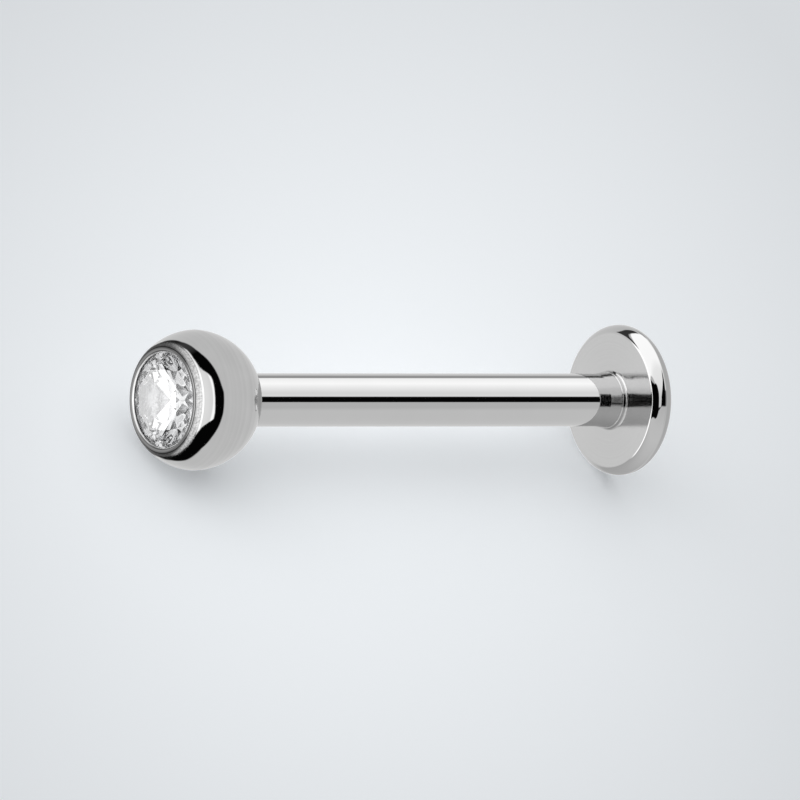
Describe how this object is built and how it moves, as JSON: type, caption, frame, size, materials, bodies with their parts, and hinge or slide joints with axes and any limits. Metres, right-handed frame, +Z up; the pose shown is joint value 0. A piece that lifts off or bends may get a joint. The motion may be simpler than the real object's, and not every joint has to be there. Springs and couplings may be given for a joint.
{
  "type": "labret stud",
  "caption": "Straight polished labret stud: a round bar with a flat disc back, and a ball whose rounded lip holds a clear brilliant-cut stone.",
  "frame": {"origin": "middle of the box round the stud, on the surface that it lies on", "axes": "+X along the stud from the stone to the disc back, +Z up from the surface"},
  "size_m": [0.0136, 0.0034, 0.0034],
  "materials": {
    "polished_steel": "mirror polished, with a finely turned face on the disc",
    "clear_stone": "clear and colourless, brilliant cut"
  },
  "bodies": {
    "root": {"post": "polished_steel", "ball": "polished_steel", "stone": "clear_stone"}
  },
  "joints": []
}
